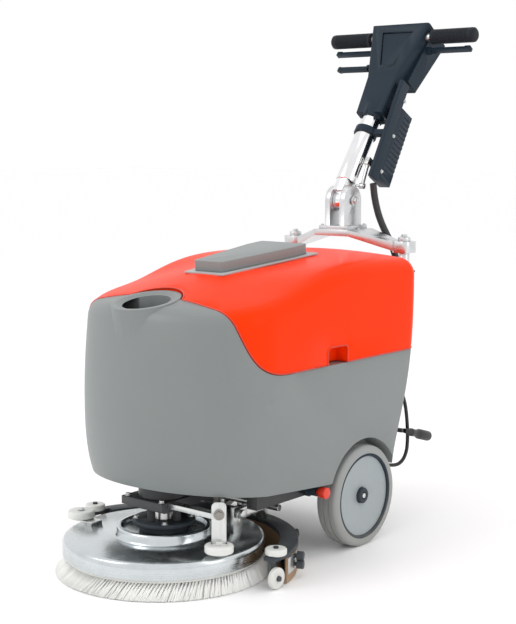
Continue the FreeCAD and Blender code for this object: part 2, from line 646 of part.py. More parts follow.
# --- squeegee -------------------------------------------------------------------------------
ARC = dict(sweep=144, start=18)
BLADE_ARC = dict(sweep=149, start=15.5)
ROLLER_Y = 48
squeegee = [
    ring("squeegee_r - 6", "squeegee_in + 8", "squeegee_low", "squeegee_top - squeegee_low", **ARC),
    ring("squeegee_r", "squeegee_in", "squeegee_top - 8", 8, **ARC),
]
for side in (1, -1):
    squeegee.append(block(side * 248, 54, "squeegee_top - 4", 24, 56, 8))
    squeegee.append(block(side * 248, 36, "squeegee_top - 28", 6, 18, 40))
    squeegee.append(rod(side * 256 - 12, 36, "roller_r + 0.5", 5, 24, "X"))
    squeegee.append(rod(side * 248, ROLLER_Y, "squeegee_top - 5", 5, 22))
squeegee_slot = ring("squeegee_r - 12", "squeegee_in + 14", "squeegee_low - 1", 20, **ARC)
port_hole = rod(0, 254, "squeegee_low - 1", 8, 60)
finish("squeegee_body", cut(fuse(*squeegee), squeegee_slot, port_hole))
BLADE_HIGH = "squeegee_top - 9"
finish("squeegee_blades",
       ring("blade_r", "blade_r - 4", 1, BLADE_HIGH, **BLADE_ARC),
       ring("squeegee_in + 8", "squeegee_in + 4", 1, BLADE_HIGH, **BLADE_ARC))
finish("blade_clamp", ring("blade_r + 2", "blade_r", "squeegee_low - 16", 32, sweep=147, start=16.5))


def squeegee_knobs():
    knobs = []
    for angle in (26, 58, 90, 122, 154):
        for height in (S.squeegee_low + 9, S.squeegee_low - 8)[:2 if angle in (26, 154) else 1]:
            knob = Part.makeCylinder(9, 14, V(S.blade_r + 5, 0, height), V(1, 0, 0))
            stem = Part.makeCylinder(4, 4, V(S.blade_r + 2, 0, height), V(1, 0, 0))
            whole = knob.makeFillet(2, knob.Edges[:1]).fuse(stem)
            whole.rotate(V(), V(0, 0, 1), angle)
            knobs.append(whole)
    return Part.makeCompound(knobs)


shaped("squeegee_knobs", squeegee_knobs())
for side, name in SIDES:
    turned(name + "_top_roller", [
        ("5 + run_gap", 0), ("roller_r - 2", 0), ("roller_r", 2), ("roller_r", 11), ("roller_r - 2", 13),
        ("5 + run_gap", 13)],
        x=side * 248, y=ROLLER_Y, z="squeegee_top + 1")
    turned(name + "_side_roller", [
        (side * 252, "5 + run_gap"), (side * 252, "roller_r - 3"), (side * 255, "roller_r"),
        (side * 262, "roller_r"), (side * 264, "roller_r - 2"), (side * 264, "5 + run_gap")],
        "H_Axis", y=36, z="roller_r + 0.5")
finish("squeegee_arms", fuse(
    rod(-112, MID_Y, "squeegee_top + 30", 7, 224, "X"),
    *[block(side * 60, 234, "squeegee_top + 14", 16, 18, 28) for side, name in SIDES],
    *[rod(side * 100, MID_Y, "squeegee_top + 30", 5, 34) for side, name in SIDES],
    cut(rod(0, 254, "squeegee_top", 19, 26), rod(0, 254, 0, 8, "squeegee_top + 16")),
    cut(rod(0, 254, "squeegee_top + 16", 12, 24, "Y"), rod(0, 260, "squeegee_top + 16", 9, 50, "Y"))))

# --- drain ----------------------------------------------------------------------------------
finish("drain_valve", fuse(
    rod("rail_x + 13", 238, 140, 10, 38, "X"), rod("rail_x + 20", 238, 140, 13, 12, "X"),
    rod("rail_x + 36", 238, 140, 8, "tank_low - 140")))
finish("drain_knob", fuse(
    rod("rail_x + 51.5", 238, 140, 6, 8, "X"), rod("rail_x + 59", 238, 140, 11.5, 16, "X")))

# --- posts, bridge and clevis ---------------------------------------------------------------
BOSS_LOW = S.crown_z - 7
BOSS_TOP = BOSS_LOW + 25
POST_LOW = BOSS_LOW - 40
finish("handle_posts", *[
    fuse(rod(f"{side} * post_x", "post_y", POST_LOW, 12, BOSS_LOW - POST_LOW),
         rod(f"{side} * post_x", "post_y", POST_LOW, 16, 6),
         rod(f"{side} * post_x", "post_y", BOSS_LOW - 1, 7, BOSS_TOP - BOSS_LOW + 2),
         rod(f"{side} * post_x", "post_y", BOSS_TOP, 14, 9))
    for side, name in SIDES])


def bridge():
    """The casting that ties the two posts and carries the handle's clevis."""
    pad_half = 46
    pad = Part.makeBox(2 * pad_half, 100, S.pad_thick, V(-pad_half, 550, PAD_LOW))
    pieces = [pad]
    for side in (1, -1):
        boss = Part.makeBox(44, 46, BOSS_TOP - BOSS_LOW, V(side * S.post_x - 22, S.post_y - 23, BOSS_LOW))
        boss = boss.makeFillet(14, [e for e in boss.Edges if e.BoundBox.ZLength > 20])
        near = [V(side * (S.post_x - 18), y, BOSS_LOW + up)
                for y, up in ((600, 3), (637, 3), (637, 23), (600, 23))]
        pad_top = PAD_LOW + S.pad_thick
        far = [V(side * pad_half, y, z)
               for y, z in ((552, PAD_LOW), (648, PAD_LOW), (648, pad_top), (552, pad_top))]
        sections = [Part.makePolygon([*corners, corners[0]]) for corners in (near, far)]
        pieces += [boss, Part.makeLoft(sections, True, True)]
    whole = pieces[0].fuse(pieces[1:])
    holes = [Part.makeCylinder(7, 60, V(side * S.post_x, S.post_y, BOSS_LOW - 10)) for side, name in SIDES]
    return whole.cut(holes)


shaped("bridge", bridge())


def clevis():
    """Two cheeks on a foot, with the pin that the handle turns on."""
    foot_top = PAD_LOW + S.pad_thick
    foot = Part.makeBox(76, 82, 8, V(-38, 556, foot_top))
    cheeks = []
    for side in (1, -1):
        start = side * 20 - 7
        cheek = Part.makeBox(14, 66, PIVOT_Z - foot_top - 8, V(start, S.pivot_y - 33, foot_top + 8))
        cheeks.append(cheek.fuse(Part.makeCylinder(33, 14, V(start, S.pivot_y, PIVOT_Z), V(1, 0, 0))))
    pin = Part.makeCylinder(7, 62, V(-31, S.pivot_y, PIVOT_Z), V(1, 0, 0))
    return foot.fuse([*cheeks, pin]).removeSplitter()


shaped("clevis", clevis())

# --- handle ---------------------------------------------------------------------------------
# In the handle's own frame the pivot is the origin, +Y is behind and +Z runs up the tube.
HANDLE = Placement(V(0, S.brush_y + S.pivot_y, PIVOT_Z), Rotation(V(1, 0, 0), -S.handle_lean))

finish("handle_tube", cut(
    fuse(cut(rod(0, "-tube_out", 38, "tube_r", "tube_end - 38"),
             rod(0, "-tube_out", 50, "tube_r - 2.5", 400)),
         rod(-12, 0, 0, 24, 24, "X"), block(0, "-tube_out + 2", 24, 24, 38, 34), rod(0, 2, 41.5, 3, 41, "X")),
    rod(-40, 0, 0, "7 + run_gap", 80, "X")), frame=HANDLE)
finish("clamp_band", cut(
    fuse(rod(0, "-tube_out", 166, "tube_r + 4", 16), block(38, "-tube_out", 174, 24, 14, 14)),
    rod(0, "-tube_out", 100, "tube_r", 200)), frame=HANDLE)


def console_shell(shrink):
    """Front shell that widens towards the bar, and the operator's housing behind it."""
    front = ((218, 35, -40, 10), (318, 42, -43, 14), (462, 80, -53, 0))
    rear = ((322, 56, -14, 30), (462, 80, -26, 38))
    shells = []
    for levels in (front, rear):
        sections = []
        for up, half, ahead, behind in levels:
            edge = shrink if up in (levels[0][0],) else -shrink if up == levels[-1][0] else 0
            x, y0, y1, z = half - shrink, ahead + shrink, behind - shrink, up + edge
            corners = [V(-x, y0, z), V(x, y0, z), V(x, y1, z), V(-x, y1, z)]
            sections.append(Part.makePolygon([*corners, corners[0]]))
        shell = Part.makeLoft(sections, True, True)
        outer_y = levels[-1][2] if levels is front else levels[-1][3]
        soft = [e for e in shell.Edges if e.BoundBox.ZLength > 60 and abs(e.BoundBox.YMax - outer_y) < 25]
        shells.append(shell if shrink else shell.makeFillet(6, soft))
    return shells[0].fuse(shells[1])


def console():
    panel = [V(x, -41 - (up - 349) * 0.07, up)
             for x, up in ((-17, 349), (17, 349), (43, 441), (-43, 441))]
    recess = Part.Face(Part.makePolygon([*panel, panel[0]])).extrude(V(0, -40, 0))
    tube = Part.makeCylinder(S.tube_r, 60, V(0, -S.tube_out, S.tube_end - 60))
    socket = Part.makeCylinder(S.tube_r + 3.5, 30, V(0, -S.tube_out, 212))
    bar = Part.makeCylinder(S.bar_r, 400, V(-200, -S.bar_out, S.bar_up), V(1, 0, 0))
    hollow = console_shell(4).cut(Part.makeBox(400, 200, 60, V(-200, -100, 180)))
    key = Part.makeCylinder(9.5, 30, V(-44, 20, 424), V(0, 1, 0))
    rockers = [Part.makeBox(21, 30, 29, V(x - 10.5, 20, 409.5)) for x in (8, 42)]
    lugs = [Part.makeBox(22, 14, 12, V(side * 72.5 - 11, -16, 408)) for side, name in SIDES]
    lugs.append(Part.makeBox(24, 12, 12, V(-64, -25, 353)))
    whole = console_shell(0).fuse([socket, *lugs])
    return whole.cut([hollow.cut(socket), tube, bar, recess, key, *rockers])


shaped("console", console(), frame=HANDLE)
finish("t_bar", rod("4 - bar_half", "-bar_out", "bar_up", "bar_r", "2 * bar_half - 8", "X"), frame=HANDLE)
finish("handle_grips", *[
    cut(rod(x, "-bar_out", "bar_up", "grip_r", "bar_half - 84", "X"),
        rod("4 - bar_half", "-bar_out", "bar_up", "bar_r", "2 * bar_half - 8", "X"))
    for x in (84, "-bar_half")], frame=HANDLE)
for side, name in SIDES:
    finish(name + "_switch_bar", fuse(
        block(side * 136.5, -9, 414, 104, 12, 9), block(side * 180, -10, 414.5, 14, 12, 10)), frame=HANDLE)
finish("hand_lever", fuse(
    block(-109.5, -19, 359, 81, 13, 9), rod(-69, -25.5, 363.5, 4.5, 13, "Y"),
    rod(-150, -19, 354.5, 8, 9)), frame=HANDLE)


def between(start, end, radius):
    along = end.sub(start)
    return Part.makeCylinder(radius, along.Length, start, along)


lock_lever = between(V(34, 2, 41.5), V(34, -9, 95), 4).fuse([
    Part.makeBox(12, 16, 18, V(28, -18, 90)), Part.makeCylinder(7, 11, V(28.5, 2, 41.5), V(1, 0, 0))])
shaped("lock_lever", lock_lever.cut(Part.makeCylinder(3.5, 20, V(25, 2, 41.5), V(1, 0, 0))), frame=HANDLE)

CHANNEL_TILT = Rotation(V(1, 0, 0), 5.5)


def tilted_block(x, y, z, dx, dy, dz):
    box = Part.makeBox(dx, dy, dz)
    box.Placement = Placement(V(x, y, z), CHANNEL_TILT)
    return box


channel = tilted_block(50, -15, 60, 11, 32, 250)
channel = channel.makeFillet(3, [e for e in channel.Edges if e.Length > 200])
shaped("cable_channel", channel, frame=HANDLE)


def motor_controller():
    case = tilted_block(30, 18, 76, 28, 48, 182)
    fins = [tilted_block(57, 20, 84 + 12 * i, 5, 44, 6) for i in range(14)]
    foot = tilted_block(50, 15, 90, 8, 6, 150)
    clear = Part.makeBox(20, 26, 60, V(22, -10, 212))
    return case.cut([*fins, clear]).fuse(foot)


shaped("motor_controller", motor_controller(), frame=HANDLE)

# --- switches on the operator's side --------------------------------------------------------
finish("key_switch", fuse(rod(-44, 21, 424, 9, 18, "Y"), block(-44, 42, 424, 3, 12, 14)), frame=HANDLE)
for name, x in (("vacuum_switch", 8), ("brush_switch", 42)):
    finish(name, block(x, 31, 424, 20, 18, 28), frame=HANDLE)

# --- cords and hoses ------------------------------------------------------------------------
CONDUIT = [V(*p) for p in (
    (55, 636, 750), (54, 641, 729), (57, 644, 705), (62, 650, 676), (70, 660, 646), (84, 668, 616),
    (98, 670, 580), (106, 664, 540), (110, 652, 500), (110, 637, 462), (107, 620, 427), (104, 598, 399),
    (101, 568, 382), (100, 532, 377))]
CHARGING_LEAD = [V(*p) for p in (
    (160, 550, 131), (172, 564, 128), (182, 578, 136), (187, 588, 157), (187, 592, 184), (184, 594, 222),
    (180, 592, 262), (176, 584, 290), (173, 568, 308), (173, 546, 312))]
shaped("conduit", path_tube(CONDUIT, 8))
shaped("charging_lead", path_tube(CHARGING_LEAD, 4))

def charging_plug():
    start = V(200, 556.5, 213)
    along = V(0, 0.96, -0.28)
    sleeve = Part.makeCone(5, 8, 26, start, along)
    body = Part.makeCone(8, 11.5, 34, start + along * 26, along)
    end = Part.makeCylinder(11.5, 42, start + along * 60, along)
    socket = Part.makeCylinder(8.5, 30, start + along * 74, along)
    return sleeve.fuse([body, end]).cut(socket)


shaped("charging_plug", charging_plug())

# --- export ---------------------------------------------------------------------------------
doc.recompute()
for item in doc.Objects:
    if "Invalid" in item.State or "Error" in item.State:
        raise RuntimeError("failed: %s %s" % (item.Label, item.State))
os.makedirs("parts", exist_ok=True)
for item in subparts:
    if item.Shape.isNull() or not item.Shape.isValid():
        raise RuntimeError("no valid shape: " + item.Label)
    item.Shape.exportStep("parts/%s.step" % item.Label)
    print(item.Label, len(item.Shape.Solids), round(item.Shape.Volume / 1000), "cm3")
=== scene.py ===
# %% [markdown]
# # A walk-behind floor scrubber
# This lesson dresses a finished mechanical model. The moving parts, their sizes and their places come
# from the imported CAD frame. Here the pieces get soft edges, smooth shading, real finishes, and the small
# things that CAD leaves plain: bristles, ribs, bolts, lips and cords.

# %% Load the frame
import json
import math
import random

import bmesh
import bpy
from mathutils import Matrix, Vector


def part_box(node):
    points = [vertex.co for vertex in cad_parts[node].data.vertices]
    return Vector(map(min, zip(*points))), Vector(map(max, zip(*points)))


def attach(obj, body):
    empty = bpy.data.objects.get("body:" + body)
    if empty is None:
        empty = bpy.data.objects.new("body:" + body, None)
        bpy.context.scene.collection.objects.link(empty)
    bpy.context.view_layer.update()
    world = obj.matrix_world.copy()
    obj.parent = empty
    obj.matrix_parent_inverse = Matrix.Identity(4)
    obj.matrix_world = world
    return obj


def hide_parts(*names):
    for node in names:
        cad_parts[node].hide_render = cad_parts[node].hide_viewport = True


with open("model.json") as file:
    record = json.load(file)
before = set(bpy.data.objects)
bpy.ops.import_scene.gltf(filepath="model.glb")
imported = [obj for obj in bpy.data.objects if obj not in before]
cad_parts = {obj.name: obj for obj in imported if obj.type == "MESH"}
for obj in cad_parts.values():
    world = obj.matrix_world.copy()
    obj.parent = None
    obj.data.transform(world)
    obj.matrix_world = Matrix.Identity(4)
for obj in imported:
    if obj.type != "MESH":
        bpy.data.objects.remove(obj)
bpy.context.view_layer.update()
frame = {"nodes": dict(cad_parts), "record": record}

record = frame["record"]
home = {node: body for body, nodes in record["behaviour"]["bodies"].items() for node in nodes}
slots = {part["node"]: part["material_slot"] for part in record["subparts"]}

# %% [markdown]
# Most places are given from the brush axis, because the machine is built round it. The handle has a frame
# of its own, turned back from upright about the pivot, and its parts are placed in that frame.

# %% Reference places
MM = 0.001
brush_low, brush_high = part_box("brush_bristles")
BRUSH_Y = (brush_low.y + brush_high.y) / 2
LEAN = math.radians(35.3)
HANDLE = Matrix.Translation((0, BRUSH_Y + 0.597, 0.712)) @ Matrix.Rotation(-LEAN, 4, "X")
print("brush axis at y", round(BRUSH_Y, 4))


def spot(x, y, z):
    """A point given in millimetres from the brush axis."""
    return Vector((x * MM, BRUSH_Y + y * MM, z * MM))


def handle_spot(x, y, z):
    """A point given in millimetres in the handle's own frame."""
    return HANDLE @ Vector((x * MM, y * MM, z * MM))


# %% [markdown]
# ## Camera, floor and light
# The camera stands a little to the machine's right and looks down on it slightly. A long lens keeps the
# upright edges nearly parallel. The floor is pale and plain, and large soft lamps give round highlights
# on the glossy hood without hard shadows.

# %% Camera
camera_data = bpy.data.cameras.new("camera")
camera_data.lens = 78.05
camera = bpy.data.objects.new("camera", camera_data)
camera.location = (1.81509, BRUSH_Y - 1.9029, 0.84322)
camera.rotation_euler = (math.radians(82.84), math.radians(-0.07), math.radians(39.58))
bpy.context.collection.objects.link(camera)
bpy.context.scene.camera = camera

# %% Floor and light
bpy.ops.object.select_all(action="DESELECT")
bpy.ops.mesh.primitive_plane_add(size=60)
floor = bpy.context.object
floor.name = "floor"
paper = bpy.data.materials.new("pale_floor")
paper.use_nodes = True
paper.node_tree.nodes["Principled BSDF"].inputs["Base Color"].default_value = (1, 1, 1, 1)
paper.node_tree.nodes["Principled BSDF"].inputs["Roughness"].default_value = 0.55
floor.data.materials.append(paper)

world = bpy.data.worlds.new("studio")
world.use_nodes = True
world.node_tree.nodes["Background"].inputs["Color"].default_value = (1, 1, 1, 1)
world.node_tree.nodes["Background"].inputs["Strength"].default_value = 1.0
bpy.context.scene.world = world
bpy.context.scene.view_settings.view_transform = "Standard"


def soft_lamp(name, place, target, size, power):
    lamp = bpy.data.lights.new(name, "AREA")
    lamp.shape = "RECTANGLE"
    lamp.size, lamp.size_y = size
    lamp.energy = power
    holder = bpy.data.objects.new(name, lamp)
    holder.location = place
    holder.rotation_euler = (Vector(target) - Vector(place)).to_track_quat("-Z", "Y").to_euler()
    bpy.context.collection.objects.link(holder)


soft_lamp("key_lamp", (-1.4, -2.6, 2.6), (0, -0.1, 0.4), (1.8, 1.8), 30)
soft_lamp("side_lamp", (3.2, 0.3, 1.6), (0, 0, 0.4), (1.2, 2.4), 12)
soft_lamp("top_lamp", (0.2, 0.4, 3.4), (0, 0, 0.3), (2.6, 2.6), 12)

# %% [markdown]
# ## Finishes
# A finish is built from three shared effects. Each is a node group that puts out colours and values only,
# so the shader itself stays in the material. All of them read Object coordinates: every piece sits at the
# origin, so a pattern has the same scale on every piece.

# %% Helper for node groups
def new_group(name, inputs, outputs):
    group = bpy.data.node_groups.new(name, "ShaderNodeTree")
    for label, kind, value in inputs:
        socket = group.interface.new_socket(label, in_out="INPUT", socket_type=kind)
        socket.default_value = value
    for label, kind in outputs:
        group.interface.new_socket(label, in_out="OUTPUT", socket_type=kind)
    return group, group.nodes.new("NodeGroupInput"), group.nodes.new("NodeGroupOutput")


def math_node(tree, operation, first, second=None, clamp=False):
    node = tree.nodes.new("ShaderNodeMath")
    node.operation = operation
    node.use_clamp = clamp
    for socket, value in zip(node.inputs, (first, second)):
        if isinstance(value, (int, float)):
            socket.default_value = value
        elif value is not None:
            tree.links.new(value, socket)
    return node.outputs[0]


def noise_node(tree, vector, scale, detail=3.0):
    node = tree.nodes.new("ShaderNodeTexNoise")
    node.inputs["Detail"].default_value = detail
    tree.links.new(vector, node.inputs["Vector"])
    if isinstance(scale, (int, float)):
        node.inputs["Scale"].default_value = scale
    else:
        tree.links.new(scale, node.inputs["Scale"])
    return node.outputs["Fac"]


def mix_colour(tree, factor, first, second):
    node = tree.nodes.new("ShaderNodeMix")
    node.data_type = "RGBA"
    for socket, value in ((node.inputs[0], factor), (node.inputs[6], first), (node.inputs[7], second)):
        if isinstance(value, (tuple, float)):
            socket.default_value = value
        else:
            tree.links.new(value, socket)
    return node.outputs[2]


# %% [markdown]
# Moulded plastic is never quite even. The colour drifts over a hand's width, the gloss drifts with it,
# and a fine grain from the mould breaks up the highlight.

# %% Moulded grain
moulded, g_in, g_out = new_group(
    "Moulded grain",
    [("Color", "NodeSocketColor", (0.5, 0.5, 0.5, 1)), ("Drift", "NodeSocketFloat", 0.1),
     ("Grain Scale", "NodeSocketFloat", 900.0), ("Roughness", "NodeSocketFloat", 0.4)],
    [("Color", "NodeSocketColor"), ("Roughness", "NodeSocketFloat"), ("Height", "NodeSocketFloat")])
where = moulded.nodes.new("ShaderNodeTexCoord").outputs["Object"]
broad = noise_node(moulded, where, 9.0)
fine = noise_node(moulded, where, g_in.outputs["Grain Scale"], 2.0)
shift = math_node(moulded, "MULTIPLY", math_node(moulded, "SUBTRACT", broad, 0.5), g_in.outputs["Drift"])
speck = math_node(moulded, "MULTIPLY", math_node(moulded, "SUBTRACT", fine, 0.5), 0.1)
brighter = math_node(moulded, "ADD", math_node(moulded, "ADD", shift, speck), 1.0)
scaled = moulded.nodes.new("ShaderNodeVectorMath")
scaled.operation = "SCALE"
moulded.links.new(g_in.outputs["Color"], scaled.inputs[0])
moulded.links.new(brighter, scaled.inputs["Scale"])
moulded.links.new(scaled.outputs[0], g_out.inputs["Color"])
uneven = math_node(moulded, "ADD", g_in.outputs["Roughness"], shift)
moulded.links.new(math_node(moulded, "ADD", uneven, speck, True), g_out.inputs["Roughness"])
moulded.links.new(fine, g_out.inputs["Height"])

# %% [markdown]
# Machines that wash floors are splashed from below. Dried water leaves a pale film that is strongest near
# the floor and ends in ragged spots higher up. The same group dulls the gloss where the film lies.

# %% Floor film
film, g_in, g_out = new_group(
    "Floor film",
    [("Color", "NodeSocketColor", (0.5, 0.5, 0.5, 1)), ("Roughness", "NodeSocketFloat", 0.4),
     ("Reach", "NodeSocketFloat", 0.12), ("Amount", "NodeSocketFloat", 0.3)],
    [("Color", "NodeSocketColor"), ("Roughness", "NodeSocketFloat")])
where = film.nodes.new("ShaderNodeTexCoord").outputs["Object"]
split = film.nodes.new("ShaderNodeSeparateXYZ")
film.links.new(where, split.inputs[0])
spots = noise_node(film, where, 38.0, 6.0)
level = math_node(film, "DIVIDE", split.outputs["Z"], g_in.outputs["Reach"])
low_down = math_node(film, "SUBTRACT", 1.0, level, True)
ragged = math_node(film, "MULTIPLY", low_down, math_node(film, "MULTIPLY", spots, 1.6), True)
amount = math_node(film, "MULTIPLY", ragged, g_in.outputs["Amount"], True)
film.links.new(mix_colour(film, amount, g_in.outputs["Color"], (0.36, 0.34, 0.3, 1)), g_out.inputs["Color"])
duller = math_node(film, "MULTIPLY", amount, 0.5)
film.links.new(math_node(film, "ADD", g_in.outputs["Roughness"], duller, True), g_out.inputs["Roughness"])

# %% [markdown]
# Metal shows how it was worked. Rolled sheet and turned tube carry fine lines in one direction. The group
# takes the direction as a vector, so the same lines can run along a tube or round a disc.

# %% Worked metal
worked, g_in, g_out = new_group(
    "Worked metal",
    [("Vector", "NodeSocketVector", (0, 0, 0)), ("Color", "NodeSocketColor", (0.7, 0.7, 0.7, 1)),
     ("Roughness", "NodeSocketFloat", 0.3), ("Contrast", "NodeSocketFloat", 0.2)],
    [("Color", "NodeSocketColor"), ("Roughness", "NodeSocketFloat"), ("Height", "NodeSocketFloat")])
lines = noise_node(worked, g_in.outputs["Vector"], 1.0, 4.0)
blotch_where = worked.nodes.new("ShaderNodeTexCoord").outputs["Object"]
blotch = noise_node(worked, blotch_where, 26.0, 4.0)
change = math_node(worked, "ADD", math_node(worked, "SUBTRACT", lines, 0.5),
                   math_node(worked, "MULTIPLY", math_node(worked, "SUBTRACT", blotch, 0.5), 0.9))
change = math_node(worked, "MULTIPLY", change, g_in.outputs["Contrast"])
scaled = worked.nodes.new("ShaderNodeVectorMath")
scaled.operation = "SCALE"
worked.links.new(g_in.outputs["Color"], scaled.inputs[0])
worked.links.new(math_node(worked, "ADD", change, 1.0), scaled.inputs["Scale"])
worked.links.new(scaled.outputs[0], g_out.inputs["Color"])
worked.links.new(math_node(worked, "ADD", g_in.outputs["Roughness"], change, True), g_out.inputs["Roughness"])
worked.links.new(lines, g_out.inputs["Height"])


# %% [markdown]
# The materials place these groups and set what is the same all over straight on the shader.

# %% Materials from the groups
def start_material(name, metallic=0.0, coat=0.0, coat_roughness=0.1, specular=0.5):
    made = bpy.data.materials.new(name)
    made.use_nodes = True
    shader = made.node_tree.nodes["Principled BSDF"]
    shader.inputs["Metallic"].default_value = metallic
    shader.inputs["Coat Weight"].default_value = coat
    shader.inputs["Coat Roughness"].default_value = coat_roughness
    shader.inputs["Specular IOR Level"].default_value = specular
    return made, made.node_tree, shader


def place_group(tree, group, **values):
    node = tree.nodes.new("ShaderNodeGroup")
    node.node_tree = group
    for label, value in values.items():
        socket = node.inputs[label.replace("_", " ")]
        if hasattr(value, "is_linked") or isinstance(value, bpy.types.NodeSocket):
            tree.links.new(value, socket)
        else:
            socket.default_value = value
    return node


def add_bump(tree, shader, height, distance, strength=0.5):
    bump = tree.nodes.new("ShaderNodeBump")
    bump.inputs["Strength"].default_value = strength
    bump.inputs["Distance"].default_value = distance
    tree.links.new(height, bump.inputs["Height"])
    tree.links.new(bump.outputs["Normal"], shader.inputs["Normal"])


def moulded_plastic(name, colour, roughness, drift=0.12, grain=900.0, depth=0.00012, reach=0.16, dust=0.25,
                    **shader_values):
    made, tree, shader = start_material(name, **shader_values)
    base = place_group(tree, moulded, Color=(*colour, 1), Drift=drift, Grain_Scale=grain, Roughness=roughness)
    dusty = place_group(tree, film, Color=base.outputs["Color"], Roughness=base.outputs["Roughness"],
                        Reach=reach, Amount=dust)
    tree.links.new(dusty.outputs["Color"], shader.inputs["Base Color"])
    tree.links.new(dusty.outputs["Roughness"], shader.inputs["Roughness"])
    add_bump(tree, shader, base.outputs["Height"], depth)
    return made


def worked_metal(name, colour, roughness, contrast, direction, reach=0.12, dust=0.15, depth=0.00005):
    """direction gives lines per metre along X, Y and Z; few along the way that the lines run."""
    made, tree, shader = start_material(name, metallic=1.0)
    where = tree.nodes.new("ShaderNodeTexCoord").outputs["Object"]
    mapping = tree.nodes.new("ShaderNodeMapping")
    mapping.inputs["Scale"].default_value = direction
    tree.links.new(where, mapping.inputs["Vector"])
    base = place_group(tree, worked, Vector=mapping.outputs["Vector"], Color=(*colour, 1),
                       Roughness=roughness, Contrast=contrast)
    dusty = place_group(tree, film, Color=base.outputs["Color"], Roughness=base.outputs["Roughness"],
                        Reach=reach, Amount=dust)
    tree.links.new(dusty.outputs["Color"], shader.inputs["Base Color"])
    tree.links.new(dusty.outputs["Roughness"], shader.inputs["Roughness"])
    add_bump(tree, shader, base.outputs["Height"], depth)
    return made


finish = {
    "body_grey": moulded_plastic("tank_grey", (0.2, 0.218, 0.216), 0.42, 0.07, 1100.0, 0.00015, 0.2, 0.12),
    "hood_orange": moulded_plastic("hood_orange", (0.96, 0.038, 0.0005), 0.34, 0.04, 260.0, 0.00006, 0.1, 0.0,
                                   specular=0.07),
    "cover_grey": moulded_plastic("cover_grey", (0.225, 0.245, 0.243), 0.45, 0.08, 1000.0, 0.0002),
    "seal_grey": moulded_plastic("seal_grey", (0.4, 0.42, 0.42), 0.5, 0.06),
    "black_plastic": moulded_plastic("black_plastic", (0.016, 0.027, 0.04), 0.4, 0.15, 1400.0, 0.00018,
                                     specular=0.14),
    "white_plastic": moulded_plastic("white_plastic", (0.74, 0.75, 0.72), 0.42, 0.06, 700.0, 0.0001, 0.12,
                                     0.3),
    "red_plastic": moulded_plastic("red_plastic", (0.72, 0.035, 0.012), 0.3, 0.08, 700.0, 0.00008),
    "zinc": worked_metal("zinc_plate", (0.66, 0.67, 0.66), 0.3, 0.28, (260, 260, 12)),
    "tube_aluminium": worked_metal("polished_tube", (0.82, 0.82, 0.83), 0.14, 0.12, (900, 30, 20)),
    "cast_aluminium": worked_metal("cast_aluminium", (0.66, 0.67, 0.68), 0.32, 0.25, (380, 380, 380),
                                   depth=0.0002),
    "frame_paint": moulded_plastic("frame_paint", (0.03, 0.032, 0.034), 0.36, 0.12, 420.0, 0.00012),
    "motor_paint": moulded_plastic("motor_paint", (0.035, 0.037, 0.04), 0.42, 0.12, 500.0, 0.00014),
    "tyre_rubber": moulded_plastic("tyre_rubber", (0.3, 0.315, 0.31), 0.72, 0.16, 500.0, 0.0004, 0.22, 0.35),
    "disc_grey": moulded_plastic("disc_grey", (0.33, 0.37, 0.385), 0.4, 0.06, 900.0, 0.0001, 0.2, 0.15),
    "blade_tan": moulded_plastic("blade_tan", (0.34, 0.19, 0.085), 0.55, 0.12, 500.0, 0.0001),
    "grip_rubber": moulded_plastic("grip_rubber", (0.012, 0.015, 0.02), 0.5, 0.14, 1500.0, 0.0003,
                                   specular=0.18),
    "hose_rubber": moulded_plastic("hose_rubber", (0.02, 0.021, 0.023), 0.45, 0.12, 700.0, 0.0002),
    "lead_rubber": moulded_plastic("lead_rubber", (0.012, 0.012, 0.013), 0.4, 0.1, 800.0, 0.0001),
    "bristle_white": moulded_plastic("nylon_bristle", (0.9, 0.9, 0.88), 0.4, 0.12, 300.0, 0.0001, 0.02, 0.15),
}

# %% [markdown]
# The deck is a spun disc of bright steel. Its lines run in circles about the brush axis, so the direction
# given to the worked metal is the distance from that axis.

# %% Spun steel
def spun_steel():
    made, tree, shader = start_material("spun_steel", metallic=1.0)
    where = tree.nodes.new("ShaderNodeTexCoord").outputs["Object"]
    split = tree.nodes.new("ShaderNodeSeparateXYZ")
    tree.links.new(where, split.inputs[0])
    across = math_node(tree, "POWER", split.outputs["X"], 2.0)
    along = math_node(tree, "POWER", math_node(tree, "SUBTRACT", split.outputs["Y"], BRUSH_Y), 2.0)
    radius = math_node(tree, "SQRT", math_node(tree, "ADD", across, along))
    joined = tree.nodes.new("ShaderNodeCombineXYZ")
    tree.links.new(math_node(tree, "MULTIPLY", radius, 700.0), joined.inputs["X"])
    tree.links.new(math_node(tree, "MULTIPLY", split.outputs["Z"], 700.0), joined.inputs["Y"])
    base = place_group(tree, worked, Vector=joined.outputs[0], Color=(0.62, 0.66, 0.68, 1), Roughness=0.2,
                       Contrast=0.22)
    dusty = place_group(tree, film, Color=base.outputs["Color"], Roughness=base.outputs["Roughness"],
                        Reach=0.1, Amount=0.3)
    tree.links.new(dusty.outputs["Color"], shader.inputs["Base Color"])
    tree.links.new(dusty.outputs["Roughness"], shader.inputs["Roughness"])
    add_bump(tree, shader, base.outputs["Height"], 0.00004)
    return made


finish["deck_steel"] = spun_steel()
print(len(finish), "finishes")

# %% [markdown]
# ## From CAD node to finished piece
# A CAD node arrives as loose, flat-shaded triangles. Each visible one is copied, its corners are merged,
# its sharp edges get a small round, and it is shaded smooth. The copy then stands for the node.

# %% Dressing a CAD node
def only(*objects):
    """Leaves just these objects selected, the first one active."""
    bpy.ops.object.select_all(action="DESELECT")
    for one in objects:
        one.select_set(True)
    bpy.context.view_layer.objects.active = objects[0]


def settle(piece, body, slot, *nodes):
    """Gives a piece its finish and its body, and says which CAD nodes it stands for."""
    if not piece.data.materials:
        piece.data.materials.append(finish[slot])
    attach(piece, body)
    if nodes:
        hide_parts(*nodes)
    return piece


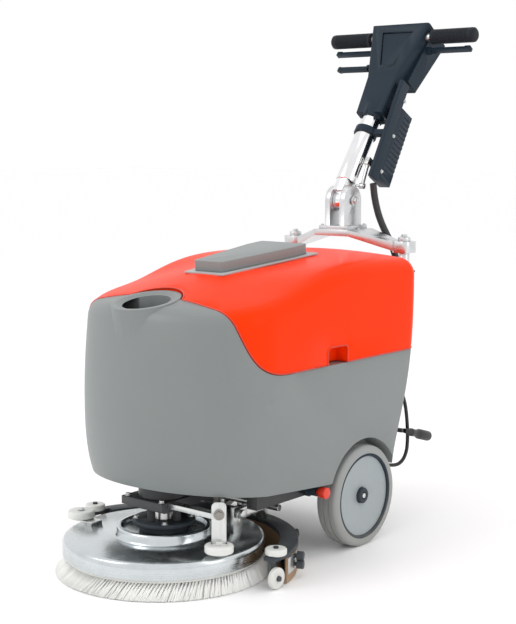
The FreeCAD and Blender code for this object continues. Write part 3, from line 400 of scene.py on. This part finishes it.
def merged_copy(node, name):
    mesh = frame["nodes"][node].data.copy()
    mesh.materials.clear()
    piece = bpy.data.objects.new(name, mesh)
    bpy.context.collection.objects.link(piece)
    only(piece)
    bpy.ops.object.mode_set(mode="EDIT")
    bpy.ops.mesh.select_all(action="SELECT")
    bpy.ops.mesh.remove_doubles(threshold=0.00001)
    bpy.ops.object.mode_set(mode="OBJECT")
    return piece


def dress(node, soften=0.0007, flat=True, smooth=32, name=None):
    """A finished copy of a CAD node with merged corners and softened edges."""
    piece = merged_copy(node, name or node + "_skin")
    if flat:
        bpy.ops.object.mode_set(mode="EDIT")
        bpy.ops.mesh.select_all(action="SELECT")
        bpy.ops.mesh.dissolve_limited(angle_limit=math.radians(0.3))
        bpy.ops.object.mode_set(mode="OBJECT")
    if soften:
        round_off = piece.modifiers.new("round_off", "BEVEL")
        round_off.width = soften
        round_off.segments = 2
        round_off.limit_method = "ANGLE"
        round_off.angle_limit = math.radians(38)
        bpy.ops.object.modifier_apply(modifier="round_off")
    bpy.ops.object.shade_smooth_by_angle(angle=math.radians(smooth))
    return settle(piece, home[node], slots[node], node)


# %% [markdown]
# The big tanks get a wider round. Their tops and noses are smooth lofts, so nothing on them is dissolved.

# %% Tanks and cover
tank = dress("solution_tank", 0.0022, flat=False)
hood = dress("recovery_tank", 0.0022, flat=False)
dress("tank_cover", 0.003, smooth=40)
dress("cover_seal", 0.0008)
print("tank faces", len(tank.data.polygons), "hood faces", len(hood.data.polygons))

# %% Plain nodes that only need soft edges
for node in ("batteries", "vacuum_motor", "float_cage", "float_ball", "chassis_frame", "wheel_axle",
             "right_wheel", "left_wheel", "right_wheel_disc", "left_wheel_disc", "brush_deck", "drive_flange",
             "drive_hub", "brush_plate", "gear_motor", "right_bumper_roller", "left_bumper_roller",
             "deck_brackets", "link_arms", "link_pins", "squeegee_body", "squeegee_blades", "blade_clamp",
             "squeegee_knobs", "right_top_roller", "left_top_roller", "right_side_roller", "left_side_roller",
             "squeegee_arms", "drain_valve", "drain_knob", "handle_posts", "clevis", "handle_tube",
             "clamp_band", "t_bar", "right_switch_bar", "left_switch_bar", "hand_lever", "lock_lever",
             "cable_channel", "motor_controller", "key_switch", "vacuum_switch", "brush_switch"):
    dress(node)
dress("bridge", 0.003)
dress("console", 0.0018)

# %% [markdown]
# ## Bristles
# The brush carries rows of nylon tufts that lean outwards and back along the rim. A tuft is a pinch of
# filaments, each a thin three-sided needle, which is enough faces at this size. Rows near the rim are the
# ones that show, so they are set closer. The needles are written straight into one mesh, because there are
# thousands of them.

# %% Tufts of nylon
brush_r = brush_high.y - BRUSH_Y
bristle_top = brush_high.z - 0.0004
random.seed(4)
TUFT_LEAN = 0.075


def tufts(rows, spacing, filaments):
    """One mesh of tufts: rows gives each row's (radius at the root, radius at the tip)."""
    mesh = bmesh.new()
    for root_r, tip_r in rows:
        count = round(math.tau * tip_r / spacing)
        for i in range(count):
            turn = math.tau * (i + random.uniform(-0.12, 0.12)) / count
            swirl = turn - TUFT_LEAN + random.uniform(-0.02, 0.02)
            for _ in range(filaments):
                root_turn = turn + random.uniform(-0.004, 0.004)
                tip_turn = swirl + random.uniform(-0.022, 0.022)
                reach = min(tip_r + random.uniform(-0.005, 0.004), brush_r - 0.001)
                root = Vector((root_r * math.cos(root_turn), root_r * math.sin(root_turn), bristle_top))
                over_floor = random.uniform(0.0004, 0.003)
                tip = Vector((reach * math.cos(tip_turn), reach * math.sin(tip_turn), over_floor))
                root.y += BRUSH_Y
                tip.y += BRUSH_Y
                out = Vector((math.cos(turn), math.sin(turn), 0)) * 0.0008
                side = Vector((-math.sin(turn), math.cos(turn), 0)) * 0.0008
                ring = [out, side - out * 0.5, -side - out * 0.5]
                top = [mesh.verts.new(root + v) for v in ring]
                low = [mesh.verts.new(tip + v * 0.7) for v in ring]
                for a, b in ((0, 1), (1, 2), (2, 0)):
                    mesh.faces.new((top[a], low[a], low[b], top[b]))
                mesh.faces.new(low[::-1])
    data = bpy.data.meshes.new("tufts")
    mesh.to_mesh(data)
    mesh.free()
    return data


outer_rows = [(0.193, brush_r - 0.001), (0.188, brush_r - 0.006), (0.181, brush_r - 0.014)]
inner_rows = [(r, r + 0.012) for r in (0.168, 0.152, 0.136, 0.12, 0.104)]
FIELDS = (("outer_tufts", outer_rows, 0.0075, 26), ("inner_tufts", inner_rows, 0.012, 12))
for name, rows, spacing, filaments in FIELDS:
    bristles = bpy.data.objects.new(name, tufts(rows, spacing, filaments))
    bpy.context.collection.objects.link(bristles)
    settle(bristles, "brush", "bristle_white")
    print(name, len(bristles.data.polygons), "faces")
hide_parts("brush_bristles")

# %% [markdown]
# ## Tyres
# A tyre is a spun profile with two shallow grooves round it and a soft shoulder. One is spun about the
# axle and the other is its mirror image, each with its own mesh.

# %% Spun tyres
tyre_low, tyre_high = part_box("right_tyre")
axle_y = (tyre_low.y + tyre_high.y) / 2
axle_z = (tyre_low.z + tyre_high.z) / 2
wheel_r = (tyre_high.z - tyre_low.z) / 2


def spun(name, profile, centre, axis, steps=96):
    """A closed profile of (along, radius) points turned about an axis through centre."""
    mesh = bpy.data.meshes.new(name)
    along = Vector((1, 0, 0)) if axis == "X" else Vector((0, 0, 1))
    out = Vector((0, 0, 1)) if axis == "X" else Vector((1, 0, 0))
    corners = [centre + along * a + out * r for a, r in profile]
    mesh.from_pydata(corners, [(i, (i + 1) % len(corners)) for i in range(len(corners))], [])
    piece = bpy.data.objects.new(name, mesh)
    bpy.context.collection.objects.link(piece)
    only(piece)
    bpy.ops.object.mode_set(mode="EDIT")
    bpy.ops.mesh.select_all(action="SELECT")
    bpy.ops.mesh.spin(steps=steps, angle=math.tau, center=centre, axis=along)
    bpy.ops.mesh.select_all(action="SELECT")
    bpy.ops.mesh.remove_doubles(threshold=0.00001)
    bpy.ops.mesh.normals_make_consistent(inside=False)
    bpy.ops.object.mode_set(mode="OBJECT")
    bpy.ops.object.shade_smooth_by_angle(angle=math.radians(40))
    return piece


def tyre_profile(inner, outer):
    """Half section from the inner face to the outer face, with shoulders and two grooves."""
    way = 1 if outer > inner else -1
    wide = abs(outer - inner)
    seat, groove = wheel_r - 0.017, wheel_r - 0.0025
    steps = [(0, seat), (0, wheel_r - 0.009), (0.0016, wheel_r - 0.0035), (0.005, wheel_r - 0.0007),
             (0.008, wheel_r)]
    for middle in (0.36, 0.64):
        place = wide * middle
        steps += [(place - 0.0022, wheel_r), (place - 0.0014, groove), (place + 0.0014, groove),
                  (place + 0.0022, wheel_r)]
    steps += [(wide - 0.008, wheel_r), (wide - 0.005, wheel_r - 0.0007), (wide - 0.0016, wheel_r - 0.0035),
              (wide, wheel_r - 0.009), (wide, seat)]
    return [(way * a, r) for a, r in steps]


for side, name in ((1, "right_tyre"), (-1, "left_tyre")):
    low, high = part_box(name)
    inner, outer = (low.x, high.x) if side > 0 else (high.x, low.x)
    tyre = spun(name + "_tread", tyre_profile(inner, outer), Vector((inner, axle_y, axle_z)), "X")
    settle(tyre, home[name], "tyre_rubber", name)
print("tyre radius", round(wheel_r, 4))

# %% [markdown]
# ## Grips
# Each grip is a moulded rubber sleeve: fine rings along its length so that a wet hand doesn't slip, and a
# plain domed end. The sleeve is spun about the bar's own line and then set into the handle's frame.

# %% Ribbed grips
def grip(name, start, end):
    long = abs(end - start)
    full = 0.0174
    profile = [(0, 0.0112), (0, full - 0.002), (0.002, full), (0.007, full)]
    ribs = 26
    pitch = (long - 0.024) / ribs
    for i in range(ribs):
        a = 0.01 + i * pitch
        profile += [(a, full - 0.0012), (a + pitch * 0.25, full - 0.0002), (a + pitch * 0.7, full - 0.0002)]
    profile += [(long - 0.01, full), (long - 0.004, full - 0.0008), (long - 0.001, full - 0.004),
                (long, full - 0.008), (long, 0.001), (long - 0.003, 0.001), (long - 0.003, 0.0112)]
    way = 1 if end > start else -1
    sleeve = spun(name, [(way * a, r) for a, r in profile], Vector((start, 0, 0)), "X", 48)
    sleeve.data.transform(HANDLE @ Matrix.Translation((0, -0.027, 0.44)))
    return sleeve


settle(grip("left_grip", -0.084, -0.201), "handle", "grip_rubber")
settle(grip("right_grip", 0.084, 0.201), "handle", "grip_rubber", "handle_grips")

# %% [markdown]
# ## Bolts
# One hexagon bolt with its washer is modelled at the origin: a washer disc, a six-sided head with an inset
# and sunk crown, and a small round on every edge. Every bolt on the machine is a turned and scaled copy.

# %% One bolt, many copies
def model_bolt():
    bpy.ops.object.select_all(action="DESELECT")
    bpy.ops.mesh.primitive_cylinder_add(vertices=28, radius=1.0, depth=0.16, location=(0, 0, 0.08))
    washer = bpy.context.object
    bpy.ops.object.select_all(action="DESELECT")
    bpy.ops.mesh.primitive_cylinder_add(vertices=6, radius=0.74, depth=0.5, location=(0, 0, 0.41))
    head = bpy.context.object
    bpy.ops.object.mode_set(mode="EDIT")
    bpy.ops.mesh.select_mode(type="FACE")
    bpy.ops.mesh.select_all(action="DESELECT")
    bpy.ops.object.mode_set(mode="OBJECT")
    for face in head.data.polygons:
        face.select = face.normal.z > 0.9
    bpy.ops.object.mode_set(mode="EDIT")
    bpy.ops.mesh.inset(thickness=0.1)
    bpy.ops.transform.translate(value=(0, 0, 0.05))
    bpy.ops.mesh.inset(thickness=0.2)
    bpy.ops.transform.translate(value=(0, 0, -0.08))
    bpy.ops.object.mode_set(mode="OBJECT")
    only(head, washer)
    bpy.ops.object.join()
    bpy.ops.object.transform_apply(location=True, rotation=True, scale=True)
    soft = head.modifiers.new("soft", "BEVEL")
    soft.width = 0.05
    soft.segments = 2
    soft.limit_method = "ANGLE"
    bpy.ops.object.modifier_apply(modifier="soft")
    bpy.ops.object.shade_smooth_by_angle(angle=math.radians(40))
    return head


pattern = model_bolt()


def bolts(name, body, places, direction, size, slot="zinc", look=None):
    """Copies of the bolt at these places, standing out along direction, size across the washer's half."""
    turn = Vector(direction).to_track_quat("Z", "Y").to_matrix().to_4x4()
    for i, place in enumerate(places):
        mesh = pattern.data.copy()
        spin = Matrix.Rotation(random.uniform(0, 1), 4, "Z")
        mesh.transform(Matrix.Translation(place) @ turn @ spin @ Matrix.Scale(size, 4))
        piece = bpy.data.objects.new("%s_%d" % (name, i + 1), mesh)
        bpy.context.collection.objects.link(piece)
        if look:
            mesh.materials.append(look)
        settle(piece, body, slot)


up = (0, 0, 1)
bolts("bridge_bolt", "machine", [spot(x, 618, 634) for x in (-153, 153)], up, 0.009)
bolts("clevis_bolt", "machine", [spot(x, y, 655.9) for x in (-32.5, 32.5) for y in (562, 634)], up, 0.005)
bolts("pad_bolt", "machine", [spot(x, 600, 648) for x in (-41, 41)], up, 0.0045)
bolts("gear_bolt", "brush_head", [spot(x, y, 150) for x in (-46, 46) for y in (-54, 54)], up, 0.007)
flange_turns = (0.8, 2.36, 3.93, 5.5)
bolts("flange_bolt", "brush_head", [spot(54 * math.cos(a), 54 * math.sin(a), 102) for a in flange_turns],
      up, 0.007)
side_way = (1, 0, 0)
channel_places = ((13.9, 89.5), (6.0, 181.9), (-3.8, 271.8))
bolts("channel_screw", "handle", [handle_spot(60.8, y, z) for y, z in channel_places], side_way, 0.0045)
bolts("bracket_bolt", "brush_head", [spot(184.65, -44.3, 149)], (0.669, -0.743, 0), 0.0105,
      look=worked_metal("dull_steel", (0.3, 0.28, 0.26), 0.38, 0.3, (300, 300, 300)))
bolts("pin_head", "machine", [spot(31, 597, 712)], side_way, 0.011)
bolts("pin_tail", "machine", [spot(-31, 597, 712)], (-1, 0, 0), 0.011)
bolts("band_screw", "handle", [handle_spot(50, -17, 174)], side_way, 0.005)
bpy.data.objects.remove(pattern)

# %% [markdown]
# ## Lips
# The hood was moulded with a thicker lip along its open edges. It follows the joint between the tanks and
# the ring round the fill opening. The sharp edges of the hood are read from its merged mesh, and those near
# the joint become a thin round bead. The beads are a darker orange than the hood, and that darker colour is
# painted shade: the dark line that shade draws along the joint and round the fill opening.

# %% Beads along the hood's edges
def bead(name, node, wanted, radius, colour_finish, body):
    """A round bead along the sharp edges of a CAD node whose middle passes the test."""
    source = merged_copy(node, name + "_source")
    mesh = bmesh.new()
    mesh.from_mesh(source.data)
    chosen = []
    for edge in mesh.edges:
        if len(edge.link_faces) == 2 and edge.calc_face_angle() > math.radians(40):
            middle = (edge.verts[0].co + edge.verts[1].co) / 2
            if wanted(middle):
                chosen.append(edge)
    rest = [edge for edge in mesh.edges if edge not in set(chosen)]
    bmesh.ops.delete(mesh, geom=rest, context="EDGES_FACES")
    bmesh.ops.delete(mesh, geom=[v for v in mesh.verts if not v.link_edges], context="VERTS")
    line = bpy.data.meshes.new(name)
    mesh.to_mesh(line)
    mesh.free()
    bpy.data.objects.remove(source)
    piece = bpy.data.objects.new(name, line)
    bpy.context.collection.objects.link(piece)
    only(piece)
    bpy.ops.object.convert(target="CURVE")
    piece.data.bevel_depth = radius
    piece.data.bevel_resolution = 3
    bpy.ops.object.convert(target="MESH")
    bpy.ops.object.shade_smooth()
    piece.data.materials.clear()
    piece.data.materials.append(colour_finish)
    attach(piece, body)
    print(name, len(piece.data.polygons), "faces")
    return piece


hood_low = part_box("recovery_tank")[0]


def on_outside(point):
    """True near the outer skin of the tanks, in plan."""
    start = BRUSH_Y + 0.08
    if point.y > start:
        return abs(point.x) > 0.21 or point.y > BRUSH_Y + 0.55
    return math.hypot(point.x / 0.226, (point.y - start) / 0.198) > 0.9


def on_shoulder(point):
    """True along the top of the joint, where it crosses the shoulders to the fill opening."""
    return point.z > hood_low.z + 0.1 and point.y < BRUSH_Y + 0.005


def round_fill(point):
    return math.hypot(point.x, point.y - (BRUSH_Y - 0.045)) < 0.082


# A darker orange than the hood: painted shade along the joint, and round the fill opening too.
shaded_lip_orange = moulded_plastic("shaded_lip_orange", (0.62, 0.03, 0.004), 0.3, 0.05, 260.0, 0.00006, 0.1, 0.0)
bead("joint_lip", "recovery_tank",
     lambda p: (on_outside(p) and p.z < hood_low.z + 0.12 or on_shoulder(p)) and not round_fill(p),
     0.0016, shaded_lip_orange, "recovery")
bead("fill_lip", "recovery_tank",
     lambda p: round_fill(p) and p.z > 0.49, 0.0018, shaded_lip_orange, "recovery")

# %% [markdown]
# ## Console front
# The face of the console has a sunk panel. An insert of darker plastic lies in it, with a thin frame.

# %% Panel insert
def panel_insert():
    bpy.ops.object.select_all(action="DESELECT")
    bpy.ops.mesh.primitive_cube_add(size=1)
    insert = bpy.context.object
    insert.name = "panel_insert"
    for vertex in insert.data.vertices:
        up_the_panel = 0.351 if vertex.co.z < 0 else 0.439
        half = 0.016 if vertex.co.z < 0 else 0.0415
        ahead = -0.0445 - (up_the_panel - 0.349) * 0.07
        deep = 0.0025 if vertex.co.y < 0 else 0.006
        vertex.co = Vector((math.copysign(half, vertex.co.x), ahead + deep, up_the_panel))
    bpy.ops.object.mode_set(mode="EDIT")
    bpy.ops.mesh.select_mode(type="FACE")
    bpy.ops.mesh.select_all(action="DESELECT")
    bpy.ops.object.mode_set(mode="OBJECT")
    for face in insert.data.polygons:
        face.select = face.normal.y < -0.8
    bpy.ops.object.mode_set(mode="EDIT")
    bpy.ops.mesh.inset(thickness=0.003)
    bpy.ops.transform.translate(value=(0, 0.0012, 0))
    bpy.ops.object.mode_set(mode="OBJECT")
    soft = insert.modifiers.new("soft", "BEVEL")
    soft.width = 0.0006
    soft.segments = 2
    bpy.ops.object.modifier_apply(modifier="soft")
    bpy.ops.object.shade_smooth_by_angle(angle=math.radians(35))
    insert.data.transform(HANDLE)
    return insert


settle(panel_insert(), "handle", "black_plastic")

# %% [markdown]
# ## Cords
# The black conduit leaves the electronics box, hangs in an easy bow behind the tank and goes in at the
# rear. The charging lead comes out beside the rear rail, loops up into its clip, and its plug hangs there.
# Each is a smooth spline with the route's points as its control points.

# %% Conduit and charging lead
CONDUIT = ((55, 636, 750), (54, 641, 729), (57, 644, 705), (62, 650, 676), (70, 660, 646), (84, 668, 616),
           (98, 670, 580), (106, 664, 540), (110, 652, 500), (110, 637, 462), (107, 620, 427),
           (104, 598, 399), (101, 568, 382), (100, 532, 377))
CHARGING_LEAD = ((160, 550, 131), (172, 564, 128), (182, 578, 136), (187, 588, 157), (187, 592, 184),
                 (184, 594, 222), (180, 592, 262), (176, 584, 290), (173, 568, 308), (173, 546, 312))


def cord_line(name, route, diameter):
    curve = bpy.data.curves.new(name, "CURVE")
    curve.dimensions = "3D"
    spline = curve.splines.new("NURBS")
    spline.points.add(len(route) - 1)
    for point, place in zip(spline.points, route):
        point.co = (*spot(*place), 1)
    spline.order_u = 3
    spline.use_endpoint_u = True
    spline.resolution_u = 12
    curve.bevel_depth = diameter / 2
    curve.bevel_resolution = 6
    curve.use_fill_caps = True
    cord = bpy.data.objects.new(name, curve)
    bpy.context.collection.objects.link(cord)
    return cord


def run_length(route):
    return sum((spot(*b) - spot(*a)).length for a, b in zip(route, route[1:]))


conduit = cord_line("conduit_line", CONDUIT, 0.0158)
settle(conduit, "machine", "hose_rubber", "conduit")
lead = cord_line("charging_lead_line", CHARGING_LEAD, 0.008)
settle(lead, "machine", "lead_rubber", "charging_lead")
print("conduit runs", round(run_length(CONDUIT), 3), "lead runs", round(run_length(CHARGING_LEAD), 3))

# %% [markdown]
# The plug is turned: a ribbed sleeve that keeps the lead from kinking, a waist for the fingers, and the
# round shell over the contacts.

# %% Charging plug
def charging_plug():
    profile = [(0.0, 0.0042), (0.0, 0.0052)]
    for i in range(6):
        a = 0.003 + i * 0.0038
        grow = 0.0052 + i * 0.0004
        profile += [(a, grow - 0.0009), (a + 0.0008, grow), (a + 0.0026, grow), (a + 0.0032, grow - 0.0009)]
    profile += [(0.028, 0.0088), (0.036, 0.0088), (0.041, 0.0079), (0.05, 0.0082), (0.058, 0.0104),
                (0.061, 0.0113), (0.099, 0.0113), (0.1015, 0.0108), (0.1015, 0.0086), (0.076, 0.0086),
                (0.076, 0.001), (0.07, 0.001), (0.07, 0.0042)]
    plug = spun("charging_plug_body", profile, Vector((0, 0, 0)), "Z", 40)
    way = Vector((0, 0.96, -0.28)).normalized()
    turn = way.to_track_quat("Z", "Y").to_matrix().to_4x4()
    plug.data.transform(Matrix.Translation(spot(200, 556.5, 213)) @ turn)
    return plug


settle(charging_plug(), "machine", "lead_rubber", "charging_plug")
